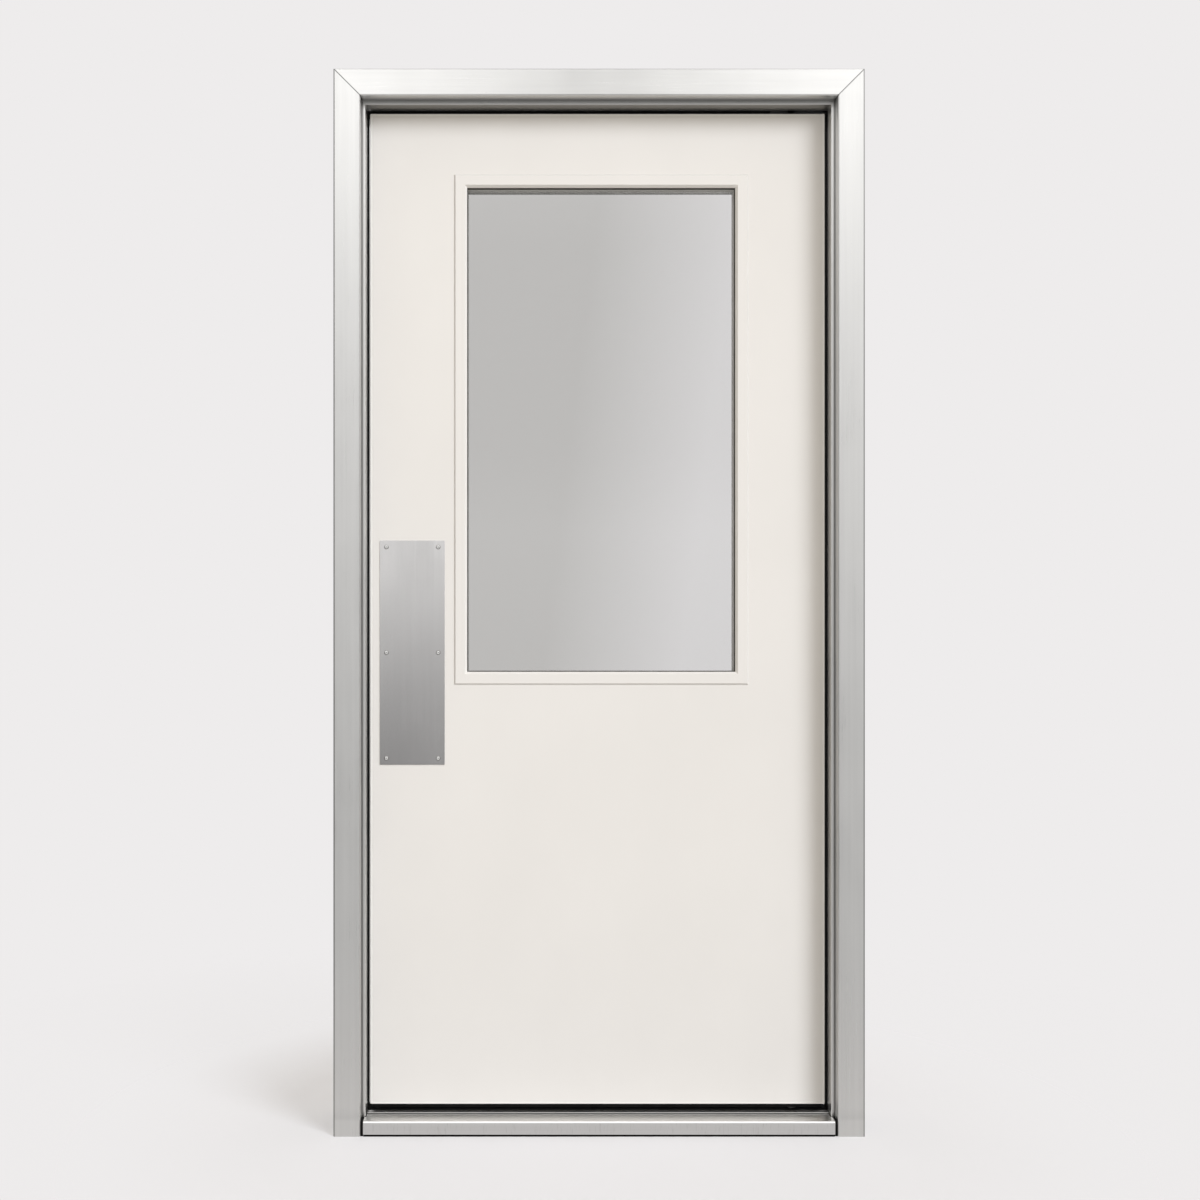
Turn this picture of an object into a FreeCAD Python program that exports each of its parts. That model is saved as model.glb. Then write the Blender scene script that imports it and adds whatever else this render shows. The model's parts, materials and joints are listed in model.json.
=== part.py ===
import FreeCAD, Part
import math
import os
from types import SimpleNamespace

import Sketcher

# A double swing door: one leaf on a vertical pivot, hung in the middle of a deep
# metal frame, so that it opens both ways. X runs across the doorway, Y runs through
# it and Z is up. The origin lies on the floor, in the middle of the doorway. The
# leaf's free edge, which carries the push plates, is its toe, at -X. Its pivoted
# edge is its heel, at +X.

# Driving sizes, in millimetres.
SIZES = {
    # The frame.
    "frame_width": 1045,
    "frame_height": 2100,
    "casing_face": 52.5,
    "casing_depth": 31,
    "casing_wall": 2,
    "casing_arris": 2,
    "casing_rebate": 1.5,
    "mitre_gap": 0.8,
    "wall_thickness": 106,
    "jamb_box": 30,
    "jamb_step": 7.5,
    "jamb_wall": 2,
    "jamb_arris": 1.5,
    "seal_depth": 3,
    "fixing_diameter": 8,
    "fixing_pitch_across": 28,
    "fixing_from_end": 350,
    # The threshold.
    "threshold_top": 30,
    "threshold_wall": 4,
    "threshold_nose": 4,
    "horn_corner": 1,
    "horn_gap": 5.5,
    "saddle_half": 37,
    "saddle_thickness": 1.3,
    "saddle_arris": 0.5,
    "strip_thickness": 1.2,
    "strip_setback": 0.5,
    "bedding_thickness": 4,
    "bedding_setback": 3,
    "bedding_end": 1.5,
    "bedding_end_drop": 1,
    # The leaf.
    "leaf_gap": 5.5,
    "leaf_sill_gap": 12,
    "leaf_thickness": 44,
    "skin_thickness": 3,
    "skin_arris": 0.5,
    "lipping": 5,
    "lipping_arris": 2,
    "rail_height": 30,
    "sweep_drop": 6.5,
    "sweep_from_edge": 6,
    # The pivots.
    "pivot_setback": 64,
    "heel_radius": 66.7,
    "heel_arris": 1,
    "heel_clearance": 5.05,
    "pivot_block_half": 45,
    "pin_diameter": 14,
    "spindle_diameter": 18,
    "pivot_engagement": 18,
    "running_clearance": 0.1,
    # The vision panel.
    "panel_from_toe": 169,
    "panel_from_heel": 154,
    "panel_from_top": 122.5,
    "panel_height": 1025,
    "bead_face": 21.5,
    "bead_bevel": 4.5,
    "bead_proud": 3.5,
    "bead_edge": 3,
    "bead_lap": 12,
    "glass_thickness": 6,
    "glass_edge_clearance": 3,
    "gasket_thickness": 15,
    "gasket_reveal": 2,
    # The push plates.
    "plate_width": 130,
    "plate_height": 450,
    "plate_thickness": 1.5,
    "plate_from_toe": 20,
    "plate_from_bottom": 682,
    "plate_corner": 1.5,
}

doc = FreeCAD.newDocument("double_swing_door")
sheet = doc.addObject("Spreadsheet::Sheet", "Sizes")
for row, (name, number) in enumerate(SIZES.items(), start=1):
    sheet.set(f"A{row}", name)
    sheet.set(f"B{row}", str(number))
    sheet.setAlias(f"B{row}", name)
doc.recompute()


class Size:
    """A length that is known as a number and as a formula on the sheet."""

    def __init__(self, value, formula):
        self.value = value
        self.formula = formula

    def join(self, sign, other, value):
        return Size(value, f"({self.formula} {sign} {other.formula})")

    def __add__(self, other):
        other = as_size(other)
        return self.join("+", other, self.value + other.value)

    def __sub__(self, other):
        other = as_size(other)
        return self.join("-", other, self.value - other.value)

    def __mul__(self, other):
        other = as_size(other)
        return self.join("*", other, self.value * other.value)

    def __truediv__(self, other):
        other = as_size(other)
        return self.join("/", other, self.value / other.value)

    def __neg__(self):
        return Size(-self.value, f"(0 - {self.formula})")


def as_size(number):
    return number if isinstance(number, Size) else Size(float(number), f"({float(number)})")


s = SimpleNamespace(**{name: Size(float(number), f"Sizes.{name}") for name, number in SIZES.items()})

# Places that several pieces share.
half_frame = s.frame_width / 2
casing_inner = half_frame - s.casing_face
casing_head = s.frame_height - s.casing_face
reveal_half = casing_inner - s.jamb_step
reveal_head = casing_head - s.jamb_step
wall_face = s.wall_thickness / 2
jamb_front = wall_face + s.casing_rebate
frame_front = wall_face + s.casing_depth
jamb_back = reveal_half + s.jamb_box
jamb_top = reveal_head + s.jamb_box

leaf_half = reveal_half - s.leaf_gap
leaf_top = reveal_head - s.leaf_gap
saddle_bottom = s.threshold_top + s.strip_thickness
threshold_crown = saddle_bottom + s.saddle_thickness
threshold_end = reveal_half - s.bedding_end
horn_end = casing_inner - s.horn_gap
horn_face = jamb_front + s.bedding_end
leaf_bottom = threshold_crown + s.leaf_sill_gap
leaf_face = s.leaf_thickness / 2
core_face = leaf_face - s.skin_thickness
skin_half = leaf_half - s.lipping
skin_bottom = leaf_bottom + s.lipping
skin_top = leaf_top - s.lipping
pivot_x = leaf_half - s.pivot_setback
rail_stop = pivot_x - s.pivot_block_half
heel_seal_face = pivot_x + s.heel_radius + s.heel_clearance

panel_left = s.panel_from_toe - leaf_half
panel_right = leaf_half - s.panel_from_heel
panel_top = leaf_top - s.panel_from_top
panel_bottom = panel_top - s.panel_height
glass_face = s.glass_thickness / 2
gasket_face = glass_face + s.gasket_thickness

PLANES = {"X": "YZ_Plane", "Y": "XZ_Plane", "Z": "XY_Plane"}
FRONT = -1
REAR = 1
TINY = 0.001
sub_parts = []


def new_body(label):
    body = doc.addObject("PartDesign::Body", label)
    body.Label = label
    sub_parts.append(body)
    return body


def pin_point(sketch, line, corner):
    """Ties the start of a line to its place on the sheet."""
    for kind, place in zip(("DistanceX", "DistanceY"), corner):
        number = sketch.addConstraint(Sketcher.Constraint(kind, -1, 1, line, 1, place.value))
        sketch.setExpression(f"Constraints[{number}]", place.formula)


def draw_outline(sketch, points):
    """A closed polygon, each corner tied to the sheet."""
    corners = [(as_size(u), as_size(v)) for u, v in points]
    ends = corners[1:] + corners[:1]
    lines = []
    for (u, v), (next_u, next_v) in zip(corners, ends):
        start = FreeCAD.Vector(u.value, v.value, 0)
        end = FreeCAD.Vector(next_u.value, next_v.value, 0)
        lines.append(sketch.addGeometry(Part.LineSegment(start, end)))
    for line, follower, corner in zip(lines, lines[1:] + lines[:1], corners):
        sketch.addConstraint(Sketcher.Constraint("Coincident", line, 2, follower, 1))
        pin_point(sketch, line, corner)


def draw_circle(sketch, centre, diameter):
    u, v = (as_size(place) for place in centre)
    middle = FreeCAD.Vector(u.value, v.value, 0)
    circle = sketch.addGeometry(Part.Circle(middle, FreeCAD.Vector(0, 0, 1), diameter.value / 2))
    for kind, place in (("DistanceX", u), ("DistanceY", v)):
        number = sketch.addConstraint(Sketcher.Constraint(kind, -1, 1, circle, 3, place.value))
        sketch.setExpression(f"Constraints[{number}]", place.formula)
    number = sketch.addConstraint(Sketcher.Constraint("Diameter", circle, diameter.value))
    sketch.setExpression(f"Constraints[{number}]", diameter.formula)


def new_sketch(body, along, offset):
    """A sketch across one axis, moved along the plane's own normal."""
    sketch = body.newObject("Sketcher::SketchObject", f"{body.Name}_sketch")
    plane = next(p for p in body.Origin.OriginFeatures if p.Role == PLANES[along])
    sketch.AttachmentSupport = [(plane, "")]
    sketch.MapMode = "FlatFace"
    sketch.setExpression("AttachmentOffset.Base.z", as_size(offset).formula)
    return sketch


def pad(body, along, draw, first, last):
    """Draws a section and pads it from one place to another along an axis."""
    low, high = sorted((as_size(first), as_size(last)), key=lambda place: place.value)
    # The XZ plane looks along -Y, so a pad there starts at its high end.
    sketch = new_sketch(body, along, -high if along == "Y" else low)
    draw(sketch)
    feature = body.newObject("PartDesign::Pad", f"{body.Name}_pad")
    feature.Profile = (sketch, [""])
    feature.setExpression("Length", (high - low).formula)
    doc.recompute()
    return feature


def cut_through(body, along, draw):
    """Cuts a section right through the body, both ways from the middle plane."""
    before = body.Shape.Volume
    sketch = new_sketch(body, along, 0)
    draw(sketch)
    feature = body.newObject("PartDesign::Pocket", f"{body.Name}_cut")
    feature.Profile = (sketch, [""])
    feature.Type = "ThroughAll"
    feature.SideType = "Symmetric"
    doc.recompute()
    assert body.Shape.Volume < before, f"{body.Label}: a cut took nothing away"
    return feature


def bore(body, centre, diameter, top, depth):
    """A blind round hole, sunk straight down from a level face."""
    before = body.Shape.Volume
    sketch = new_sketch(body, "Z", top)
    circles([centre], diameter)(sketch)
    feature = body.newObject("PartDesign::Pocket", f"{body.Name}_bore")
    feature.Profile = (sketch, [""])
    feature.setExpression("Length", depth.formula)
    doc.recompute()
    assert body.Shape.Volume < before, f"{body.Label}: the bore took nothing away"
    return feature


def rectangle(left, bottom, right, top):
    return [(left, bottom), (right, bottom), (right, top), (left, top)]


def outlines(*shapes):
    """A drawing function for one or more closed outlines."""
    def draw(sketch):
        for points in shapes:
            draw_outline(sketch, points)
    return draw


def circles(centres, diameter):
    """A drawing function for one or more circles of one size."""
    def draw(sketch):
        for centre in centres:
            draw_circle(sketch, centre, diameter)
    return draw


def straight_edges(shape, places):
    """Names the edges that run along an axis through the given places.

    A place is an axis and the edge's two other coordinates, in X, Y, Z order.
    """
    names = []
    for number, edge in enumerate(shape.Edges, start=1):
        box = edge.BoundBox
        spans = {"X": box.XLength, "Y": box.YLength, "Z": box.ZLength}
        middle = {"X": box.Center.x, "Y": box.Center.y, "Z": box.Center.z}
        for along, *wanted in places:
            across = [axis for axis in spans if axis != along]
            straight = spans[along] > TINY and all(spans[axis] < TINY for axis in across)
            near = all(abs(middle[axis] - as_size(at).value) < TINY for axis, at in zip(across, wanted))
            if straight and near:
                names.append(f"Edge{number}")
    return names


def dress(body, kind, property_name, size, names):
    """Rounds or bevels the named edges of the body as it stands."""
    base = body.Tip
    feature = body.newObject(f"PartDesign::{kind}", f"{body.Name}_{kind.lower()}")
    feature.Base = (base, names)
    feature.setExpression(property_name, size.formula)
    doc.recompute()
    return feature


def round_edges(body, radius, *places):
    return dress(body, "Fillet", "Radius", radius, straight_edges(body.Shape, places))


def bevel_edges(body, size, *places):
    return dress(body, "Chamfer", "Size", size, straight_edges(body.Shape, places))


# The casings: mitred box sections that lap the wall on both faces of the frame. A
# shallow rebate in the back of each seats over the jamb.
def casing_section(outer, inner, step, face):
    """Both outlines of a casing: place across its face first, then depth."""
    show, lap, seat = frame_front * face, wall_face * face, jamb_front * face
    wall_in = s.casing_wall * face
    wall_across = s.casing_wall * (1 if inner.value > outer.value else -1)
    outline = [(outer, show), (inner, show), (inner, seat), (step, seat), (step, lap), (outer, lap)]
    hollow = [
        (outer + wall_across, show - wall_in), (inner - wall_across, show - wall_in),
        (inner - wall_across, seat + wall_in), (step - wall_across, seat + wall_in),
        (step - wall_across, lap + wall_in), (outer + wall_across, lap + wall_in),
    ]
    return outline, hollow


def turned(points):
    """Swaps the two places of each corner, for a section that lies on its side."""
    return [(v, u) for u, v in points]


def mitre(side_outer, side_inner, head_inner, head_outer, drop):
    """The waste beyond an upright's mitre, from corner to corner."""
    return [(side_outer, head_outer - drop), (side_outer, head_outer), (side_inner, head_outer),
            (side_inner, head_inner - drop)]


half_gap = s.mitre_gap / 2


def upright_casing(label, face, hand):
    outer, inner, step = half_frame * hand, casing_inner * hand, jamb_back * hand
    show = frame_front * face
    body = new_body(label)
    pad(body, "Z", outlines(*casing_section(outer, inner, step, face)), 0, s.frame_height)
    bevel_edges(body, s.casing_arris, ("Z", outer, show), ("Z", inner, show))
    cut_through(body, "Y", outlines(mitre(outer, inner, casing_head, s.frame_height, half_gap)))


def head_casing(label, face):
    show = frame_front * face
    body = new_body(label)
    section = casing_section(s.frame_height, casing_head, jamb_top, face)
    pad(body, "X", outlines(*[turned(points) for points in section]), -half_frame, half_frame)
    bevel_edges(body, s.casing_arris, ("X", show, s.frame_height), ("X", show, casing_head))
    ends = [
        [((half_frame - half_gap) * hand, s.frame_height), (half_frame * hand, s.frame_height),
         (half_frame * hand, casing_head), ((casing_inner - half_gap) * hand, casing_head)]
        for hand in (-1, 1)
    ]
    cut_through(body, "Y", outlines(*ends))


for face, name in ((FRONT, "front"), (REAR, "rear")):
    upright_casing(f"{name}_casing_left", face, -1)
    upright_casing(f"{name}_casing_right", face, 1)
    head_casing(f"{name}_casing_head", face)


# The jambs: mitred box sections that line the wall, with a groove for the seal. The
# groove at the heel is deeper, because the heel swells past the leaf's own edge.
groove_left = -reveal_half - s.seal_depth
groove_right = heel_seal_face + s.seal_depth
groove_head = reveal_head + s.seal_depth


def jamb_section(reveal, groove, back):
    """Both outlines of a jamb: distance from the doorway first, then depth."""
    wall = s.jamb_wall * (1 if back.value > reveal.value else -1)
    outline = [
        (reveal, -jamb_front), (reveal, -leaf_face), (groove, -leaf_face), (groove, leaf_face),
        (reveal, leaf_face), (reveal, jamb_front), (back, jamb_front), (back, -jamb_front),
    ]
    hollow_front = jamb_front - s.jamb_wall
    hollow_groove = leaf_face + s.jamb_wall
    hollow = [
        (reveal + wall, -hollow_front), (reveal + wall, -hollow_groove),
        (groove + wall, -hollow_groove), (groove + wall, hollow_groove),
        (reveal + wall, hollow_groove), (reveal + wall, hollow_front),
        (back - wall, hollow_front), (back - wall, -hollow_front),
    ]
    return outline, hollow


for hand, groove, name in ((-1, groove_left, "left"), (1, groove_right, "right")):
    reveal, back = reveal_half * hand, jamb_back * hand
    body = new_body(f"jamb_{name}")
    pad(body, "Z", outlines(*jamb_section(reveal, groove, back)), 0, jamb_top)
    corners = [("Z", across, jamb_front * face) for across in (reveal, back) for face in (FRONT, REAR)]
    round_edges(body, s.jamb_arris, *corners)
    cut_through(body, "Y", outlines([(back, jamb_top), (reveal, jamb_top), (reveal, reveal_head)]))
    # The frame's fixing screws go through both walls of the box, under the seal.
    heights = (s.fixing_from_end, s.frame_height - s.fixing_from_end)
    places = [(s.fixing_pitch_across / 2 * side, height) for side in (-1, 1) for height in heights]
    cut_through(body, "X", circles(places, s.fixing_diameter))

body = new_body("jamb_head")
section = jamb_section(reveal_head, groove_head, jamb_top)
pad(body, "X", outlines(*[turned(points) for points in section]), -jamb_back, jamb_back)
corners = [("X", jamb_front * face, height) for height in (reveal_head, jamb_top) for face in (FRONT, REAR)]
round_edges(body, s.jamb_arris, *corners)
ends = [
    [(jamb_back * hand, jamb_top), (jamb_back * hand, reveal_head), (reveal_half * hand, reveal_head)]
    for hand in (-1, 1)
]
cut_through(body, "Y", outlines(*ends))

# The black seals lie in the grooves, as wide as the leaf is thick.
for face_at, groove, name in (
    (-reveal_half, groove_left, "left"), (heel_seal_face, groove_right, "right"),
):
    body = new_body(f"seal_{name}")
    section = rectangle(face_at, -leaf_face, groove, leaf_face)
    pad(body, "Z", outlines(section), 0, groove_head)

body = new_body("seal_head")
section = rectangle(-leaf_face, reveal_head, leaf_face, groove_head)
pad(body, "X", outlines(section), -reveal_half, rail_stop)

# The top pivot's plate fills the rest of the head groove, and its pin points down.
body = new_body("top_pivot_plate")
pad(body, "X", outlines(section), rail_stop, heel_seal_face)
pin_end = leaf_top - s.pivot_engagement
pad(body, "Z", circles([(pivot_x, 0)], s.pin_diameter), pin_end, reveal_head)

# The threshold: a long extrusion with rounded noses, hollow on both sides. It fits
# between the jambs, and its four horns reach past them towards the casings.
floor_box = rectangle(rail_stop, -leaf_face, pivot_x + s.pivot_block_half, leaf_face)

body = new_body("threshold")
plan = [
    (-horn_end, -frame_front), (horn_end, -frame_front), (horn_end, -horn_face),
    (threshold_end, -horn_face), (threshold_end, horn_face), (horn_end, horn_face),
    (horn_end, frame_front), (-horn_end, frame_front), (-horn_end, horn_face),
    (-threshold_end, horn_face), (-threshold_end, -horn_face), (-horn_end, -horn_face),
]
pad(body, "Z", outlines(plan), s.bedding_thickness, s.threshold_top)
round_edges(body, s.threshold_nose, *[("X", frame_front * face, s.threshold_top) for face in (FRONT, REAR)])
corners = [("Z", horn_end * hand, frame_front * face) for hand in (-1, 1) for face in (FRONT, REAR)]
round_edges(body, s.horn_corner, *corners)
chamber_floor = s.bedding_thickness + s.threshold_wall
chamber_roof = s.threshold_top - s.threshold_wall
chamber_near = s.saddle_half + s.threshold_wall
chamber_far = frame_front - s.threshold_wall
chambers = [
    rectangle(chamber_near * face, chamber_floor, chamber_far * face, chamber_roof)
    for face in (FRONT, REAR)
]
cut_through(body, "X", outlines(*chambers))
cut_through(body, "Z", outlines(floor_box))

# The floor pivot's box, let into the threshold, takes the leaf's spindle.
body = new_body("floor_pivot_box")
pad(body, "Z", outlines(floor_box), s.bedding_thickness, s.threshold_top)
spindle_bore = s.spindle_diameter + s.running_clearance * 2
spindle_end = threshold_crown - s.pivot_engagement
bore(body, (pivot_x, 0), spindle_bore, s.threshold_top, s.threshold_top - spindle_end + s.running_clearance)

# A rubber strip lies along the middle. Its rib stands under the leaf and is as wide as
# the leaf, like the seals in the frame, and a saddle bar lies on it on either side.
body = new_body("saddle_strip")
base_half = s.saddle_half - s.strip_setback
tee = [
    (-base_half, s.threshold_top), (base_half, s.threshold_top), (base_half, saddle_bottom),
    (leaf_face, saddle_bottom), (leaf_face, threshold_crown), (-leaf_face, threshold_crown),
    (-leaf_face, saddle_bottom), (-base_half, saddle_bottom),
]
pad(body, "X", outlines(tee), -threshold_end, threshold_end)
cut_through(body, "Z", circles([(pivot_x, 0)], spindle_bore))

body = new_body("threshold_saddle")
bars = [
    rectangle(leaf_face * face, saddle_bottom, s.saddle_half * face, threshold_crown)
    for face in (FRONT, REAR)
]
pad(body, "X", outlines(*bars), -threshold_end, threshold_end)
round_edges(body, s.saddle_arris, *[("X", s.saddle_half * face, threshold_crown) for face in (FRONT, REAR)])

# The bedding lies under the threshold and turns up at both ends, where it fills the
# slots between the threshold, the jambs and the casings.
body = new_body("threshold_bedding")
bedding_edge = frame_front - s.bedding_setback
section = rectangle(-bedding_edge, 0, bedding_edge, s.bedding_thickness)
pad(body, "X", outlines(section), -reveal_half, reveal_half)
for hand in (-1, 1):
    end, horn = threshold_end * hand, horn_end * hand
    reveal, casing = reveal_half * hand, casing_inner * hand
    upturn = [
        (horn, -bedding_edge), (casing, -bedding_edge), (casing, -jamb_front), (reveal, -jamb_front),
        (reveal, jamb_front), (casing, jamb_front), (casing, bedding_edge), (horn, bedding_edge),
        (horn, horn_face), (end, horn_face), (end, -horn_face), (horn, -horn_face),
    ]
    pad(body, "Z", outlines(upturn), 0, s.threshold_top - s.bedding_end_drop)

# The leaf: four blocks of core round the vision panel, between two skins, with lipped
# rails and edges all round.
def inset_panel(edge):
    """The vision panel's outer rectangle, drawn in by a distance."""
    return rectangle(panel_left + edge, panel_bottom + edge, panel_right - edge, panel_top - edge)


opening = inset_panel(s.bead_lap)
rail_top = leaf_bottom + s.rail_height
rail_bottom = leaf_top - s.rail_height

hole_left, hole_bottom = opening[0]
hole_right, hole_top = opening[2]
core_blocks = {
    "toe_side_core": rectangle(-skin_half, rail_top, hole_left, rail_bottom),
    "heel_side_core": rectangle(hole_right, rail_top, skin_half, rail_bottom),
    "upper_core": rectangle(hole_left, hole_top, hole_right, rail_bottom),
    "lower_core": rectangle(hole_left, rail_top, hole_right, hole_bottom),
}
for label, block in core_blocks.items():
    body = new_body(label)
    pad(body, "Y", outlines(block), -core_face, core_face)

for face, name in ((FRONT, "front"), (REAR, "rear")):
    body = new_body(f"{name}_skin")
    sides = rectangle(-skin_half, skin_bottom, skin_half, skin_top)
    pad(body, "Y", outlines(sides, opening), core_face * face, leaf_face * face)
    rims = [("X", leaf_face * face, end) for end in (skin_bottom, skin_top)]
    rims += [("Z", side, leaf_face * face) for side in (-skin_half, skin_half)]
    bevel_edges(body, s.skin_arris, *rims)

body = new_body("toe_edge")
section = rectangle(-leaf_half, -leaf_face, -skin_half, leaf_face)
pad(body, "Z", outlines(section), leaf_bottom, leaf_top)
sides = [("Z", -leaf_half, leaf_face * face) for face in (FRONT, REAR)]
ends = [("X", leaf_face * face, end) for face in (FRONT, REAR) for end in (leaf_bottom, leaf_top)]
ends += [("Y", -leaf_half, end) for end in (leaf_bottom, leaf_top)]
round_edges(body, s.lipping_arris, *sides, *ends)


# The heel is rounded about the pivot, so that its gap stays the same as it swings. Its
# radius is a little more than the setback, which keeps the flat face nearly full width.
def draw_heel(sketch):
    reach = s.heel_radius.value
    turn = math.asin(leaf_face.value / reach)
    front_y = leaf_face.value
    arc_x = pivot_x.value + reach * math.cos(turn)
    back = FreeCAD.Vector(skin_half.value, -front_y, 0)
    back_far = FreeCAD.Vector(skin_half.value, front_y, 0)
    near = FreeCAD.Vector(arc_x, -front_y, 0)
    far = FreeCAD.Vector(arc_x, front_y, 0)
    circle = Part.Circle(FreeCAD.Vector(pivot_x.value, 0, 0), FreeCAD.Vector(0, 0, 1), reach)
    first = sketch.addGeometry(Part.LineSegment(back, near))
    arc = sketch.addGeometry(Part.ArcOfCircle(circle, -turn, turn))
    third = sketch.addGeometry(Part.LineSegment(far, back_far))
    last = sketch.addGeometry(Part.LineSegment(back_far, back))
    sketch.addConstraint(Sketcher.Constraint("Coincident", first, 2, arc, 1))
    sketch.addConstraint(Sketcher.Constraint("Coincident", arc, 2, third, 1))
    sketch.addConstraint(Sketcher.Constraint("Coincident", third, 2, last, 1))
    sketch.addConstraint(Sketcher.Constraint("Coincident", last, 2, first, 1))
    sketch.addConstraint(Sketcher.Constraint("Horizontal", first))
    sketch.addConstraint(Sketcher.Constraint("Horizontal", third))
    pin_point(sketch, first, (skin_half, -leaf_face))
    pin_point(sketch, last, (skin_half, leaf_face))
    for kind, place in (("DistanceX", pivot_x), ("DistanceY", as_size(0))):
        number = sketch.addConstraint(Sketcher.Constraint(kind, -1, 1, arc, 3, place.value))
        sketch.setExpression(f"Constraints[{number}]", place.formula)
    number = sketch.addConstraint(Sketcher.Constraint("Radius", arc, reach))
    sketch.setExpression(f"Constraints[{number}]", s.heel_radius.formula)


body = new_body("heel_edge")
pad(body, "Z", draw_heel, leaf_bottom, leaf_top)
rims = [
    f"Edge{number}" for number, edge in enumerate(body.Shape.Edges, start=1)
    if edge.BoundBox.ZLength < TINY and edge.BoundBox.XMax > skin_half.value + TINY
]
dress(body, "Fillet", "Radius", s.heel_arris, rims)

# Each rail is a T: its lip closes the leaf between the skins' edges, and its stem goes
# in between them. A slot at the heel takes the pivot's block.
block = rectangle(rail_stop, -core_face, skin_half, core_face)
for label, outside, lip, inside in (
    ("top_rail", leaf_top, skin_top, rail_bottom), ("bottom_rail", leaf_bottom, skin_bottom, rail_top),
):
    body = new_body(label)
    tee = [
        (-leaf_face, outside), (leaf_face, outside), (leaf_face, lip), (core_face, lip),
        (core_face, inside), (-core_face, inside), (-core_face, lip), (-leaf_face, lip),
    ]
    pad(body, "X", outlines(tee), -skin_half, skin_half)
    round_edges(body, s.lipping_arris, *[("X", leaf_face * face, outside) for face in (FRONT, REAR)])
    cut_through(body, "Z", outlines(block))

# The sweep fills most of the gap under the leaf.
body = new_body("bottom_sweep")
sweep_half = leaf_half - s.sweep_from_edge
section = rectangle(-core_face, leaf_bottom - s.sweep_drop, core_face, leaf_bottom)
pad(body, "X", outlines(section), -sweep_half, sweep_half)
cut_through(body, "Z", circles([(pivot_x, 0)], spindle_bore))

# The leaf turns on a socket at its top and on a spindle at its bottom.
body = new_body("top_pivot_socket")
pad(body, "Z", outlines(block), rail_bottom, leaf_top)
pin_bore = s.pin_diameter + s.running_clearance * 2
bore(body, (pivot_x, 0), pin_bore, leaf_top, s.pivot_engagement + s.running_clearance)

body = new_body("bottom_pivot_arm")
pad(body, "Z", outlines(block), leaf_bottom, rail_top)
pad(body, "Z", circles([(pivot_x, 0)], s.spindle_diameter), spindle_end, leaf_bottom)


# The glazing beads: mitred bars with a flat face, an inner bevel and a short stem that
# holds a deep rubber gasket against the glass.
def bead_bar(side, from_edge, to_edge):
    """A mitred bar between two distances from the panel's outer edge."""
    left, right = panel_left, panel_right
    bottom, top = panel_bottom, panel_top
    corners = {
        "left": [(left, bottom), (left, top)],
        "right": [(right, bottom), (right, top)],
        "bottom": [(left, bottom), (right, bottom)],
        "top": [(left, top), (right, top)],
    }[side]
    points = []
    for distance, ends in ((from_edge, corners), (to_edge, corners[::-1])):
        for x, z in ends:
            in_x = distance if x is left else -distance
            in_z = distance if z is bottom else -distance
            points.append((x + in_x, z + in_z))
    return points


sight_edge = s.bead_face + s.bead_bevel


def glazing_bead(label, side, face):
    show = (leaf_face + s.bead_proud) * face
    body = new_body(label)
    flange = bead_bar(side, as_size(0), sight_edge)
    pad(body, "Y", outlines(flange), leaf_face * face, show)
    stem = bead_bar(side, s.bead_lap, sight_edge)
    pad(body, "Y", outlines(stem), gasket_face * face, leaf_face * face)
    sight, rim = {
        "left": (("Z", panel_left + sight_edge, show), ("Z", panel_left, show)),
        "right": (("Z", panel_right - sight_edge, show), ("Z", panel_right, show)),
        "bottom": (("X", show, panel_bottom + sight_edge), ("X", show, panel_bottom)),
        "top": (("X", show, panel_top - sight_edge), ("X", show, panel_top)),
    }[side]
    bevel_edges(body, s.bead_bevel, sight)
    bevel_edges(body, s.bead_edge, rim)


glass_edge = s.bead_lap + s.glass_edge_clearance
for face, name in ((FRONT, "front"), (REAR, "rear")):
    for side in ("left", "right", "bottom", "top"):
        glazing_bead(f"{name}_bead_{side}", side, face)
    body = new_body(f"{name}_gasket")
    ring = [inset_panel(edge) for edge in (glass_edge, sight_edge + s.gasket_reveal)]
    pad(body, "Y", outlines(*ring), glass_face * face, gasket_face * face)

body = new_body("vision_glass")
pane = inset_panel(glass_edge)
pad(body, "Y", outlines(pane), -glass_face, glass_face)

# A push plate lies on each face of the leaf, near its toe.
plate_left = s.plate_from_toe - leaf_half
plate_right = plate_left + s.plate_width
plate_bottom = leaf_bottom + s.plate_from_bottom
plate_top = plate_bottom + s.plate_height
for face, name in ((FRONT, "front"), (REAR, "rear")):
    body = new_body(f"{name}_push_plate")
    sides = rectangle(plate_left, plate_bottom, plate_right, plate_top)
    pad(body, "Y", outlines(sides), leaf_face * face, (leaf_face + s.plate_thickness) * face)
    corners = [("Y", x, z) for x in (plate_left, plate_right) for z in (plate_bottom, plate_top)]
    round_edges(body, s.plate_corner, *corners)

# Every object has to be sound before anything is written.
doc.recompute()
for thing in doc.Objects:
    assert not {"Invalid", "Error"} & set(thing.State), f"{thing.Label} failed: {thing.State}"
for body in sub_parts:
    assert not body.Shape.isNull() and body.Shape.isValid(), f"{body.Label} has no sound shape"

os.makedirs("parts", exist_ok=True)
for body in sub_parts:
    body.Shape.exportStep(f"parts/{body.Label}.step")
    box = body.Shape.BoundBox
    print(f"{body.Label}: {box.XLength:.1f} x {box.YLength:.1f} x {box.ZLength:.1f} mm")
print(f"{len(sub_parts)} sub-parts; pivot axis at x = {pivot_x.value:.1f} mm")
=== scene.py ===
# %% [markdown]
# # A double swing door
#
# The door is one leaf on a vertical pivot, in the middle of a deep metal frame, so it
# swings both ways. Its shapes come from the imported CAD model, which is the fixed frame
# of this scene. This script gives every piece its finish, adds the small screws and the
# sealant, and sets up the floor, the light and the camera.
#
# Everything is in metres, in the frame of the CAD model: X runs across the doorway, Y
# runs through it, Z is up, and the origin is on the floor in the middle.

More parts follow.
